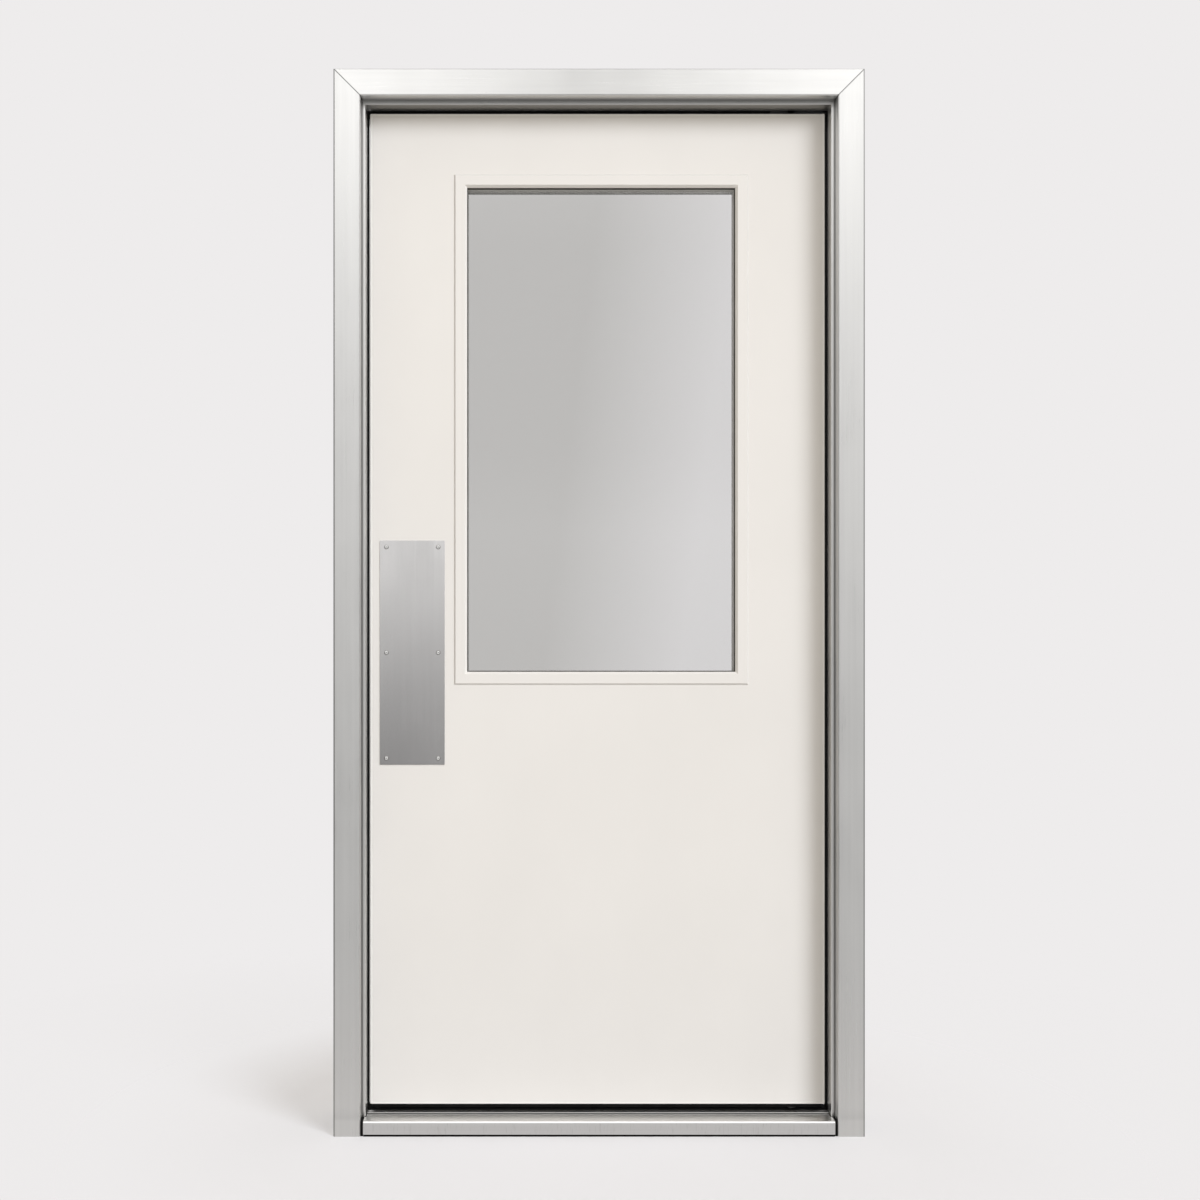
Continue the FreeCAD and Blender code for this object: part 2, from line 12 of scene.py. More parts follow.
# %% Load the frame
import json
import math

import bmesh
import bpy
from mathutils import Matrix, Vector


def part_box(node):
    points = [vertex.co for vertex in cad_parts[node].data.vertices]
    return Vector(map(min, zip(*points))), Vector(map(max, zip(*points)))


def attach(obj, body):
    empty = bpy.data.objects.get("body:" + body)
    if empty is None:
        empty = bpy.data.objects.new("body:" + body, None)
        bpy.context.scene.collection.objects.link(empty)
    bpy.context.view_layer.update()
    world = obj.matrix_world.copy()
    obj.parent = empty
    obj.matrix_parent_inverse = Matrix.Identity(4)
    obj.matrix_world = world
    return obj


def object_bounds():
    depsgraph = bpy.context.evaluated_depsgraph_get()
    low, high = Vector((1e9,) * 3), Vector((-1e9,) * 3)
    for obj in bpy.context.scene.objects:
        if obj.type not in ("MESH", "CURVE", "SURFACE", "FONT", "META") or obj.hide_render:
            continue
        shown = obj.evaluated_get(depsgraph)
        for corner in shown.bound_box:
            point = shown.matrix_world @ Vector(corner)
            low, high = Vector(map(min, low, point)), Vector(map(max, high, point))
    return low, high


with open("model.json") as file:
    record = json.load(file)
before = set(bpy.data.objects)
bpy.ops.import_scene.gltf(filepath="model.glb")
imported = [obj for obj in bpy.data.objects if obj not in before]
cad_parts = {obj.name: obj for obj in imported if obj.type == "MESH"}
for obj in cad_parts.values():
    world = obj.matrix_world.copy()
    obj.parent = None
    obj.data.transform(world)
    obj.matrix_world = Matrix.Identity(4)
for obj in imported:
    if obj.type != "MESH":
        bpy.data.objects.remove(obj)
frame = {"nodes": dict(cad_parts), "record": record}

nodes = frame["nodes"]
cad_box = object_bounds()

# %% [markdown]
# ## The camera
#
# The photograph was taken a little to the left of the door's middle and at about the
# height of its push plate, looking straight at it. The door's uprights stay upright in
# the picture, so the camera is level, and a small lens shift frames the whole door.
# Aiming the camera down instead would make the uprights lean in.

# %% Place the camera
camera_data = bpy.data.cameras.new("level_camera")
camera_data.sensor_width = 36
camera_data.lens = 42.57
camera_data.shift_x = 0.0643
camera_data.shift_y = 0.0445
camera = bpy.data.objects.new("level_camera", camera_data)
camera.location = (-0.150, -2.873, 0.950)
camera.rotation_euler = (math.radians(90), 0, 0)
bpy.context.scene.collection.objects.link(camera)
bpy.context.scene.camera = camera
bpy.context.scene.view_settings.view_transform = "Standard"
print(f"camera {-camera.location.y:.2f} m in front of the leaf, lens {camera_data.lens:.2f} mm")

# %% [markdown]
# ## Helpers for materials
#
# A hex colour is how a screen shows it, and Blender's shaders want linear light, so one
# function turns the first into the second. One more adds a node with its settings and
# its links, which keeps each material below short. Sizes of patterns are written in
# millimetres, as they would be measured on the door. A Mix node has the same socket
# names once for each kind of data, so its colour sockets are called by number here, and
# the numbers get names.
#
# Most materials need noise that is stretched to the real size of a scratch or a cloud,
# and some need to know how far a point lies from a line, so both are helpers too.

# %% Colours, sizes and nodes
MM = 0.001
SHARE, FIRST, SECOND, MIXED = 0, 6, 7, 2


def linear(hex_colour):
    """The linear RGBA of a colour such as #EDE8E2."""
    channels = [int(hex_colour[i:i + 2], 16) / 255 for i in (1, 3, 5)]
    return (*[c / 12.92 if c <= 0.04045 else ((c + 0.055) / 1.055) ** 2.4 for c in channels], 1)


def add_node(tree, kind, inputs=None, **settings):
    """Adds a node, sets its properties, and fills its inputs with values or links."""
    node = tree.nodes.new(kind)
    for name, value in settings.items():
        setattr(node, name, value)
    for name, value in (inputs or {}).items():
        if isinstance(value, bpy.types.NodeSocket):
            tree.links.new(value, node.inputs[name])
        else:
            node.inputs[name].default_value = value
    return node


def new_material(name):
    """An empty node material, with the object's own coordinates in metres."""
    material = bpy.data.materials.new(name)
    material.use_nodes = True
    tree = material.node_tree
    tree.nodes.clear()
    place = add_node(tree, "ShaderNodeTexCoord").outputs["Object"]
    return material, tree, place


def grain(tree, place, across_mm, detail=2.0, roughness=0.5):
    """Noise whose patches measure the given millimetres along X, Y and Z."""
    scale = [1 / (size * MM) for size in across_mm]
    stretched = add_node(tree, "ShaderNodeMapping", {"Vector": place, "Scale": scale})
    return add_node(tree, "ShaderNodeTexNoise", {
        "Vector": stretched.outputs["Vector"], "Scale": 1.0, "Detail": detail, "Roughness": roughness,
    }).outputs["Fac"]


def off_from(tree, value, at):
    """How far a value is from a constant, either way."""
    offset = add_node(tree, "ShaderNodeMath", {0: value, 1: at}, operation="SUBTRACT").outputs[0]
    return add_node(tree, "ShaderNodeMath", {0: offset}, operation="ABSOLUTE").outputs[0]


print(f"half grey, #808080, is {linear('#808080')[0]:.3f} in linear light")

# %% [markdown]
# ## Painted shade on the frame
#
# A brushed frame isn't one even tone here, because shade and reflections are painted into its colour. Its
# folds are painted darker than its faces, as painted shade, and the middle of the head is painted darker
# than its ends, as a painted duller reflection. The casings' outer arrises get a painted dark reflection,
# and the casings get painted shade beside the cut edges of their mitres. The underside of the head gets
# painted shade, with a painted reflection near the front. The jambs get painted shade in the corner where a
# casing sits on them.
#
# Such places could be painted on an image, but that would need an unwrapped mesh. Each
# of these functions finds its place from the shading point's own coordinates instead,
# and changes the colour there, so the marks stay sharp at any distance.

# %% Folds and edges
BLACK = linear("#000000")


def paint_fold_shade(tree, place, tone, darkest):
    """Paints shade into a colour where other surfaces close in on it, down to a share of itself."""
    # Painted shade: ambient occlusion darkens the colour in folds and corners.
    reach = 60 * MM
    around = add_node(tree, "ShaderNodeAmbientOcclusion", {"Distance": reach}, samples=8)
    open_share = add_node(tree, "ShaderNodeMapRange", {
        "Value": around.outputs["AO"], "From Min": 0.55, "From Max": 1.0, "To Min": darkest, "To Max": 1.0,
    }).outputs["Result"]
    height = add_node(tree, "ShaderNodeSeparateXYZ", {"Vector": place}).outputs["Z"]
    near_floor = add_node(tree, "ShaderNodeMapRange", {
        "Value": height, "From Min": 0.03, "From Max": 0.12, "To Min": 1.0, "To Max": 0.0,
    }).outputs["Result"]
    share = add_node(tree, "ShaderNodeMath", {0: open_share, 1: near_floor}, operation="MAXIMUM").outputs[0]
    return add_node(tree, "ShaderNodeMix", {
        SHARE: share, FIRST: BLACK, SECOND: tone,
    }, data_type="RGBA").outputs[MIXED]


def paint_arris_shade(tree, place, tone, depth):
    """Paints a dark reflection on the frame's outer arrises and shade beside the casing's mitres."""
    half_width, face, top = cad_box[1]
    split = add_node(tree, "ShaderNodeSeparateXYZ", {"Vector": place})
    across = off_from(tree, split.outputs["X"], 0.0)
    through = off_from(tree, split.outputs["Y"], 0.0)
    corner = add_node(tree, "ShaderNodeMath", {0: across, 1: through}, operation="ADD").outputs[0]
    bevel = half_width + face - 2 * MM
    # Painted dark reflection along the outer arrises, and painted shade beside the mitres.
    at_arris = add_node(tree, "ShaderNodeMapRange", {
        "Value": corner, "From Min": bevel - 1.2 * MM, "From Max": bevel - 0.2 * MM,
    }).outputs["Result"]
    slant = add_node(tree, "ShaderNodeMath", {
        0: across, 1: split.outputs["Z"],
    }, operation="SUBTRACT").outputs[0]
    at_mitre = add_node(tree, "ShaderNodeMapRange", {
        "Value": off_from(tree, slant, half_width - top),
        "From Min": 0.8 * MM, "From Max": 2.2 * MM, "To Min": 0.9, "To Max": 0.0,
    }).outputs["Result"]
    either = add_node(tree, "ShaderNodeMath", {0: at_arris, 1: at_mitre}, operation="MAXIMUM")
    share = add_node(tree, "ShaderNodeMapRange", {"Value": either.outputs[0], "To Max": depth})
    return add_node(tree, "ShaderNodeMix", {
        SHARE: share.outputs["Result"], FIRST: tone, SECOND: BLACK,
    }, data_type="RGBA").outputs[MIXED]


print(f"the mitres end at the frame's corners, {cad_box[1].x:.3f} m out and {cad_box[1].z:.3f} m up")

# %% Middle of the head, undersides and joints
def paint_middle_shade(tree, place, tone, shade):
    """Paints shade into the middle of the head, in place of a duller reflection there, fading out towards
    the mitres.
    """
    across = add_node(tree, "ShaderNodeSeparateXYZ", {"Vector": place}).outputs["X"]
    outward = add_node(tree, "ShaderNodeMapRange", {
        "Value": off_from(tree, across, 0.0), "From Min": 0.05, "From Max": 0.5,
    }).outputs["Result"]
    # Painted shade in the middle of the head.
    return add_node(tree, "ShaderNodeMix", {
        SHARE: outward, FIRST: linear(shade), SECOND: tone,
    }, data_type="RGBA").outputs[MIXED]


def paint_underside_shade(tree, place, tone, piece, shade):
    """Paints shade into a head piece's underside, with a painted reflection on the strip in front."""
    # Painted reflection near the front of the underside, and painted shade behind it.
    painted_front_reflection = linear("#E1E0DE")
    split = add_node(tree, "ShaderNodeSeparateXYZ", {"Vector": place})
    underside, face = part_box(piece)[0].z, cad_box[1][1]
    above = add_node(tree, "ShaderNodeMapRange", {
        "Value": split.outputs["Z"], "From Min": underside + 0.2 * MM, "From Max": underside + 1.2 * MM,
    }).outputs["Result"]
    in_front = add_node(tree, "ShaderNodeMapRange", {
        "Value": off_from(tree, split.outputs["Y"], 0.0),
        "From Min": face - 23 * MM, "From Max": face - 9 * MM,
    }).outputs["Result"]
    under = add_node(tree, "ShaderNodeMix", {
        SHARE: in_front, FIRST: linear(shade), SECOND: painted_front_reflection,
    }, data_type="RGBA").outputs[MIXED]
    return add_node(tree, "ShaderNodeMix", {
        SHARE: above, FIRST: under, SECOND: tone,
    }, data_type="RGBA").outputs[MIXED]


def paint_joint_shade(tree, place, tone, depth):
    """Paints shade into an upright jamb's colour in the corner where a casing sits on it."""
    across = add_node(tree, "ShaderNodeSeparateXYZ", {"Vector": place}).outputs["X"]
    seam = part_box("front_casing_right")[0].x
    at_seam = add_node(tree, "ShaderNodeMapRange", {
        "Value": off_from(tree, off_from(tree, across, 0.0), seam),
        "From Min": 0.6 * MM, "From Max": 4.0 * MM, "To Min": depth, "To Max": 0.0,
    }).outputs["Result"]
    # Painted shade in the corner where a casing sits on the jamb.
    return add_node(tree, "ShaderNodeMix", {
        SHARE: at_seam, FIRST: tone, SECOND: BLACK,
    }, data_type="RGBA").outputs[MIXED]


# %% [markdown]
# ## Brushed stainless sheet
#
# The casings and jambs are folded from stainless sheet with a satin finish. A belt of
# fine grit leaves short parallel scratches along each piece: up the uprights and across
# the head, which is why the mitre shows. Real scratches are about 0.1 mm wide, far too
# fine to show at this size, so they are drawn about 1 mm wide and kept faint. Longer,
# broader streaks and a few soft smudges vary the gloss, as on a sheet that has been
# wiped by hand. A metal keeps the default IOR and takes its look from its colour and
# roughness. The scratches could also be an anisotropic gloss, but that shows no single
# scratch, so noise that is stretched along the piece is used.

# %% Brushed stainless
ALONG_X = "x"
ALONG_Z = "z"


def brushed_stainless(name, along, base, streak, roughness=0.3, depth_mm=0.012, painted_shade_places=()):
    """Sheet brushed along one axis; each painted shade place is a function and what it needs."""
    material, tree, place = new_material(name)
    fine = (160, 1.1, 1.1) if along == ALONG_X else (1.1, 1.1, 160)
    broad = (700, 9, 9) if along == ALONG_X else (9, 9, 700)
    scratches = grain(tree, place, fine, detail=3.0, roughness=0.65)
    streaks = grain(tree, place, broad, detail=2.0)
    smudges = grain(tree, place, (90, 90, 130), detail=3.0)
    streaked = add_node(tree, "ShaderNodeMapRange", {"Value": streaks, "From Min": 0.3, "From Max": 0.7})
    tone = add_node(tree, "ShaderNodeMix", {
        SHARE: streaked.outputs["Result"], FIRST: linear(base), SECOND: linear(streak),
    }, data_type="RGBA").outputs[MIXED]
    for change, *amounts in painted_shade_places:
        tone = change(tree, place, tone, *amounts)
    from_scratches = add_node(tree, "ShaderNodeMapRange", {
        "Value": scratches, "From Min": 0.25, "From Max": 0.75,
        "To Min": roughness * 0.8, "To Max": roughness * 1.23,
    }).outputs["Result"]
    from_smudges = add_node(tree, "ShaderNodeMapRange", {
        "Value": smudges, "From Min": 0.35, "From Max": 0.7, "To Max": 0.06,
    }).outputs["Result"]
    gloss = add_node(tree, "ShaderNodeMath", {0: from_scratches, 1: from_smudges}, operation="ADD")
    relief = add_node(tree, "ShaderNodeBump", {"Height": scratches, "Distance": depth_mm * MM})
    shader = add_node(tree, "ShaderNodeBsdfPrincipled", {
        "Base Color": tone, "Metallic": 1.0, "Roughness": gloss.outputs[0],
        "Normal": relief.outputs["Normal"],
    })
    add_node(tree, "ShaderNodeOutputMaterial", {"Surface": shader.outputs[0]})
    return material


upright_steel = brushed_stainless(
    "brushed_stainless_upright", ALONG_Z, "#D9D8D6", "#DEDDDB",
    painted_shade_places=[(paint_fold_shade, 0.72), (paint_arris_shade, 0.55)],
)
jamb_steel = brushed_stainless(
    "brushed_stainless_jamb", ALONG_Z, "#DCDBD9", "#E1E0DE",
    painted_shade_places=[(paint_joint_shade, 0.75)],
)
head_steel = brushed_stainless(
    "brushed_stainless_head", ALONG_X, "#DEDDDB", "#E2E1DF",
    painted_shade_places=[
        (paint_middle_shade, "#C2C1BF"), (paint_fold_shade, 0.58),
        (paint_underside_shade, "front_casing_head", "#797876"), (paint_arris_shade, 0.55),
    ],
)
soffit_steel = brushed_stainless(
    "brushed_stainless_soffit", ALONG_X, "#D9D8D6", "#DEDDDB",
    painted_shade_places=[(paint_fold_shade, 0.88), (paint_underside_shade, "jamb_head", "#A3A2A0")],
)
plate_steel = brushed_stainless(
    "brushed_stainless_push_plate", ALONG_Z, "#D9D7D6", "#DBD9D8", roughness=0.11, depth_mm=0.005,
)
print("brushed stainless: uprights, jambs, head and push plates")

# %% [markdown]
# ## Turned and milled steel
#
# The pivots and screws are plain machine steel. It is darker than the sheet, and has the faint, even marks
# of a milling cutter or a lathe. Rings and rows could be drawn one by one, but at this size fine noise gives
# the same glint, with marks half a millimetre wide, a little coarser than real ones. The plate over the leaf
# is painted black as shade, because the line above the leaf is as black there as along its seal. The screws
# of the push plates get a painted highlight on their crowns and painted shade at their rims and in their
# recesses, so their tone follows their height above the plate.

# %% Machined steel
def machined_steel(name, base, marks, crown=None):
    """Cut steel; a crown colour paints a highlight on the parts that stand proud of a push plate."""
    material, tree, place = new_material(name)
    cuts = grain(tree, place, (0.5, 6, 0.5), detail=2.0)
    stains = grain(tree, place, (14, 14, 14), detail=3.0)
    stained = add_node(tree, "ShaderNodeMapRange", {"Value": stains, "From Min": 0.35, "From Max": 0.7})
    tone = add_node(tree, "ShaderNodeMix", {
        SHARE: stained.outputs["Result"], FIRST: linear(base), SECOND: linear(marks),
    }, data_type="RGBA").outputs[MIXED]
    # Painted highlight on the crowns, painted shade at the rims and in the recesses.
    if crown:
        depth = add_node(tree, "ShaderNodeSeparateXYZ", {"Vector": place}).outputs["Y"]
        plate_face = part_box("rear_push_plate")[1].y
        painted_crown_highlight = add_node(tree, "ShaderNodeMapRange", {
            "Value": off_from(tree, depth, 0.0),
            "From Min": plate_face + 0.85 * MM, "From Max": plate_face + 1.1 * MM,
        }).outputs["Result"]
        tone = add_node(tree, "ShaderNodeMix", {
            SHARE: painted_crown_highlight, FIRST: tone, SECOND: linear(crown),
        }, data_type="RGBA").outputs[MIXED]
    dullness = add_node(tree, "ShaderNodeMapRange", {
        "Value": cuts, "From Min": 0.3, "From Max": 0.7, "To Min": 0.28, "To Max": 0.42,
    }).outputs["Result"]
    relief = add_node(tree, "ShaderNodeBump", {"Height": cuts, "Distance": 0.01 * MM})
    shader = add_node(tree, "ShaderNodeBsdfPrincipled", {
        "Base Color": tone, "Metallic": 1.0, "Roughness": dullness, "Normal": relief.outputs["Normal"],
    })
    add_node(tree, "ShaderNodeOutputMaterial", {"Surface": shader.outputs[0]})
    return material


pivot_steel = machined_steel("milled_steel_pivot", "#A9A9A8", "#8F8E8B")
# Painted shade: the top pivot's plate and its screws are black, as the shaded line above the leaf.
shade_black_steel = machined_steel("shade_black_steel_plate", "#211F1F", "#2B2A29")
screw_steel = machined_steel("turned_steel_screw", "#868582", "#777572", crown="#EAE9E7")
print("machined steel: pivots and screws")

# %% [markdown]
# ## Anodised aluminium
#
# The threshold is an aluminium extrusion, satin anodised. The die leaves long fine lines across the doorway,
# a few tenths of a millimetre apart, which are drawn 1.4 mm apart so that they show. Feet and wheels leave
# short dull scuffs through it, rougher than the metal round them. Its top and nose are painted lighter than
# its upright face, as a painted highlight. Both patterns are noise, stretched the way that the die and the
# traffic run, because a repeated drawing of a scuff would show.

# %% Anodised threshold
def anodised_aluminium(name, base, scuffed, tread=None):
    """Extruded metal with scuffs; a tread colour paints the top and the nose lighter, as a painted
    highlight.
    """
    material, tree, place = new_material(name)
    die_lines = grain(tree, place, (400, 1.4, 1.4), detail=3.0, roughness=0.6)
    scuffs = grain(tree, place, (3, 30, 30), detail=4.0, roughness=0.7)
    worn = add_node(tree, "ShaderNodeMapRange", {
        "Value": scuffs, "From Min": 0.56, "From Max": 0.72,
    }).outputs["Result"]
    tone = add_node(tree, "ShaderNodeMix", {
        SHARE: worn, FIRST: linear(base), SECOND: linear(scuffed),
    }, data_type="RGBA").outputs[MIXED]
    # Painted highlight: the top and the nose are lighter than the upright face.
    if tread:
        height = add_node(tree, "ShaderNodeSeparateXYZ", {"Vector": place}).outputs["Z"]
        on_top = add_node(tree, "ShaderNodeMapRange", {
            "Value": height, "From Min": 24 * MM, "From Max": 29 * MM,
        }).outputs["Result"]
        tone = add_node(tree, "ShaderNodeMix", {
            SHARE: on_top, FIRST: tone, SECOND: linear(tread),
        }, data_type="RGBA").outputs[MIXED]
    from_die = add_node(tree, "ShaderNodeMapRange", {
        "Value": die_lines, "From Min": 0.3, "From Max": 0.7, "To Min": 0.27, "To Max": 0.38,
    }).outputs["Result"]
    from_scuffs = add_node(tree, "ShaderNodeMapRange", {"Value": worn, "To Max": 0.12}).outputs["Result"]
    dullness = add_node(tree, "ShaderNodeMath", {0: from_die, 1: from_scuffs}, operation="ADD")
    relief = add_node(tree, "ShaderNodeBump", {"Height": die_lines, "Distance": 0.015 * MM})
    shader = add_node(tree, "ShaderNodeBsdfPrincipled", {
        "Base Color": tone, "Metallic": 1.0, "Roughness": dullness.outputs[0],
        "Normal": relief.outputs["Normal"],
    })
    add_node(tree, "ShaderNodeOutputMaterial", {"Surface": shader.outputs[0]})
    return material


threshold_aluminium = anodised_aluminium("satin_anodised_aluminium", "#D7D6D5", "#C8C7C5", "#E6E5E3")
# The saddle bars are painted darker, as painted shade from the leaf above them.
shaded_saddle_metal = anodised_aluminium("shade_painted_saddle_aluminium", "#C2C1BF", "#B5B3B1")
print("anodised aluminium: threshold and its saddle bars")

# %% [markdown]
# ## Glass-fibre laminate
#
# The leaf's faces are off-white laminate, moulded against a satin plate. Up close it has a soft ripple a few
# millimetres across, and its warm white varies a little from place to place. Cleaning leaves it slightly
# shinier in patches. The beads round the glass are moulded plastic of the same colour, smoother than the
# sheet, and so are the lippings of the leaf's four edges. The beads' outer edges get a little painted shade.
#
# One plain colour would look like paper here, because the leaf fills most of the
# picture, so three sizes of noise vary its colour, its gloss and its surface.

# %% Laminate and bead
def warm_white_plastic(name, base, shade, roughness, ripple_mm, ripple_depth_mm, dust_and_edge_shade=0):
    """Off-white sheet or moulding; a share of painted shade darkens the outer edges of the beads."""
    material, tree, place = new_material(name)
    ripple = grain(tree, place, (ripple_mm, ripple_mm, ripple_mm), detail=2.0)
    clouds = grain(tree, place, (210, 210, 320), detail=3.0)
    wiped = grain(tree, place, (60, 60, 180), detail=2.0)
    clouded = add_node(tree, "ShaderNodeMapRange", {"Value": clouds, "From Min": 0.3, "From Max": 0.7})
    tone = add_node(tree, "ShaderNodeMix", {
        SHARE: clouded.outputs["Result"], FIRST: linear(base), SECOND: linear(shade),
    }, data_type="RGBA").outputs[MIXED]
    # Painted shade on the beads' outer edges.
    if dust_and_edge_shade:
        low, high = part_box("front_bead_left")[0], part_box("front_bead_right")[1]
        middle, half = (low + high) / 2, (high - low) / 2
        split = add_node(tree, "ShaderNodeSeparateXYZ", {"Vector": place})
        on_edge = [
            add_node(tree, "ShaderNodeMapRange", {
                "Value": off_from(tree, split.outputs[axis], centre),
                "From Min": reach - 3.3 * MM, "From Max": reach - 2.3 * MM,
            }).outputs["Result"]
            for axis, centre, reach in (("X", middle.x, half.x), ("Z", middle.z, half.z))
        ]
        either = add_node(tree, "ShaderNodeMath", {0: on_edge[0], 1: on_edge[1]}, operation="MAXIMUM")
        share = add_node(tree, "ShaderNodeMapRange", {"Value": either.outputs[0], "To Max": dust_and_edge_shade})
        tone = add_node(tree, "ShaderNodeMix", {
            SHARE: share.outputs["Result"], FIRST: tone, SECOND: BLACK,
        }, data_type="RGBA").outputs[MIXED]
    dullness = add_node(tree, "ShaderNodeMapRange", {
        "Value": wiped, "From Min": 0.3, "From Max": 0.7,
        "To Min": roughness - 0.05, "To Max": roughness + 0.05,
    }).outputs["Result"]
    relief = add_node(tree, "ShaderNodeBump", {"Height": ripple, "Distance": ripple_depth_mm * MM})
    shader = add_node(tree, "ShaderNodeBsdfPrincipled", {
        "Base Color": tone, "Roughness": dullness, "IOR": 1.5, "Normal": relief.outputs["Normal"],
    })
    add_node(tree, "ShaderNodeOutputMaterial", {"Surface": shader.outputs[0]})
    return material


leaf_laminate = warm_white_plastic("satin_glass_fibre_laminate", "#EDE9E5", "#EAE6E2", 0.42, 3.5, 0.02)
bead_plastic = warm_white_plastic("moulded_bead_plastic", "#EDE9E5", "#EBE7E3", 0.36, 1.2, 0.006, dust_and_edge_shade=0.09)
lipping_plastic = warm_white_plastic("moulded_lipping_plastic", "#F7F4F0", "#F4F1ED", 0.34, 1.2, 0.006)
print("off-white: skins, beads and lippings")

# %% [markdown]
# ## Rubber seals
#
# The seals in the frame, the sweep under the leaf and the bedding under the threshold are matt black rubber,
# and the gasket between bead and glass is dark grey. Their black is partly the rubber's own colour and
# partly a dark sheet put where the gaps round the leaf and under the threshold lie in shade, as painted
# shade. Rubber has a fine moulded grain, drawn here 0.6 mm wide so that it shows at all, and it is dusty in
# patches, so its colour isn't an even black. It hardly reflects anything, so its specular level is low: at
# the usual level a black seal looks grey at a low angle. Towards the pane the gasket's colour is painted
# pale, as a painted reflection in the glass.

# %% Rubber
def moulded_rubber(name, base, dusty, roughness, painted_reflection_at_glass=None):
    """Matt rubber; a second colour at the glass paints a pale reflection on a gasket towards the pane."""
    material, tree, place = new_material(name)
    pores = grain(tree, place, (0.6, 0.6, 0.6), detail=2.0)
    dust_and_edge_shade = grain(tree, place, (25, 25, 60), detail=3.0)
    dusted = add_node(tree, "ShaderNodeMapRange", {"Value": dust_and_edge_shade, "From Min": 0.4, "From Max": 0.75})
    tone = add_node(tree, "ShaderNodeMix", {
        SHARE: dusted.outputs["Result"], FIRST: linear(base), SECOND: linear(dusty),
    }, data_type="RGBA").outputs[MIXED]
    # Painted reflection: the gasket gets paler towards the pane.
    if painted_reflection_at_glass:
        depth = add_node(tree, "ShaderNodeSeparateXYZ", {"Vector": place}).outputs["Y"]
        from_pane = add_node(tree, "ShaderNodeMapRange", {
            "Value": off_from(tree, depth, 0.0), "From Min": 6 * MM, "From Max": 16.5 * MM,
        }).outputs["Result"]
        tone = add_node(tree, "ShaderNodeMix", {
            SHARE: from_pane, FIRST: linear(painted_reflection_at_glass), SECOND: tone,
        }, data_type="RGBA").outputs[MIXED]
    dullness = add_node(tree, "ShaderNodeMapRange", {
        "Value": pores, "From Min": 0.3, "From Max": 0.7,
        "To Min": roughness - 0.06, "To Max": roughness + 0.06,
    }).outputs["Result"]
    relief = add_node(tree, "ShaderNodeBump", {"Height": pores, "Distance": 0.03 * MM})
    shader = add_node(tree, "ShaderNodeBsdfPrincipled", {
        "Base Color": tone, "Roughness": dullness, "IOR": 1.5, "Specular IOR Level": 0.12,
        "Normal": relief.outputs["Normal"],
    })
    add_node(tree, "ShaderNodeOutputMaterial", {"Surface": shader.outputs[0]})
    return material


# Partly painted shade: this black fills the shaded gaps round the leaf and under the threshold.
black_rubber = moulded_rubber("matt_black_rubber", "#0C0B0B", "#171616", 0.86)
gasket_rubber = moulded_rubber("grey_glazing_rubber", "#4E4D4A", "#5A5956", 0.7, painted_reflection_at_glass="#EDECE9")
print("rubber: seals, sweep, bedding and gaskets")

# %% [markdown]
# ## Rigid foam
#
# The core inside the leaf is rigid foam between the skins. The rails, the edges and the
# beads close it in, so it shows only in a leaf that is taken apart. A foam's cut face is
# full of open cells, under a millimetre wide and drawn 1.6 mm wide so that they show.
# Noise has no cells, so a cell pattern gives both its colour and its pits.

# %% Foam core
def rigid_foam(name, wall, pit, cell_mm=1.6):
    """Cut foam, with pits as wide as its cells."""
    material, tree, place = new_material(name)
    pattern = add_node(tree, "ShaderNodeTexVoronoi", {"Vector": place, "Scale": 1 / (cell_mm * MM)})
    cells = pattern.outputs["Distance"]
    to_wall = add_node(tree, "ShaderNodeMapRange", {"Value": cells, "From Min": 0.1, "From Max": 0.6})
    tone = add_node(tree, "ShaderNodeMix", {
        SHARE: to_wall.outputs["Result"], FIRST: linear(pit), SECOND: linear(wall),
    }, data_type="RGBA").outputs[MIXED]
    relief = add_node(tree, "ShaderNodeBump", {"Height": cells, "Distance": 0.25 * MM})
    shader = add_node(tree, "ShaderNodeBsdfPrincipled", {
        "Base Color": tone, "Roughness": 0.85, "IOR": 1.45, "Normal": relief.outputs["Normal"],
    })
    add_node(tree, "ShaderNodeOutputMaterial", {"Surface": shader.outputs[0]})
    return material


core_foam = rigid_foam("rigid_core_foam", "#DDD3AE", "#B9AE88")
print("foam: core")

# %% [markdown]
# ## Safety glass
#
# The pane is 6 mm of toughened glass. It lets the pale room behind show through as a soft grey, and its tint
# is painted lighter towards the right, as a painted reflection. Its faces are almost flat: a very long,
# shallow wave from toughening bends reflections a little. The grey could also be a picture of a room behind
# the door, but that would slide about in other views, and the painted tint stays with the pane.

# %% Glass
def safety_glass(name, deep, clear):
    """Clear glass whose tint fades from one side to the other, on a slight slant, as a painted reflection.
    """
    material, tree, place = new_material(name)
    split = add_node(tree, "ShaderNodeSeparateXYZ", {"Vector": place})
    lean = -0.12
    # Painted reflection: the tint gets lighter towards the right.
    slant = add_node(tree, "ShaderNodeMath", {
        0: split.outputs["Z"], 1: lean, 2: split.outputs["X"],
    }, operation="MULTIPLY_ADD")
    share = add_node(tree, "ShaderNodeMapRange", {
        "Value": slant.outputs[0], "From Min": -0.22, "From Max": 0.06,
    }).outputs["Result"]
    painted_reflection_tint = add_node(tree, "ShaderNodeMix", {
        SHARE: share, FIRST: linear(deep), SECOND: linear(clear),
    }, data_type="RGBA").outputs[MIXED]
    wave = grain(tree, place, (160, 160, 90), detail=0.0)
    relief = add_node(tree, "ShaderNodeBump", {"Height": wave, "Distance": 0.05 * MM})
    shader = add_node(tree, "ShaderNodeBsdfPrincipled", {
        "Base Color": painted_reflection_tint, "Roughness": 0.03, "IOR": 1.5, "Transmission Weight": 1.0,
        "Normal": relief.outputs["Normal"],
    })
    add_node(tree, "ShaderNodeOutputMaterial", {"Surface": shader.outputs[0]})
    return material


vision_glass = safety_glass("toughened_safety_glass", "#C9C9C7", "#E3E3E3")
print("glass: vision panel")
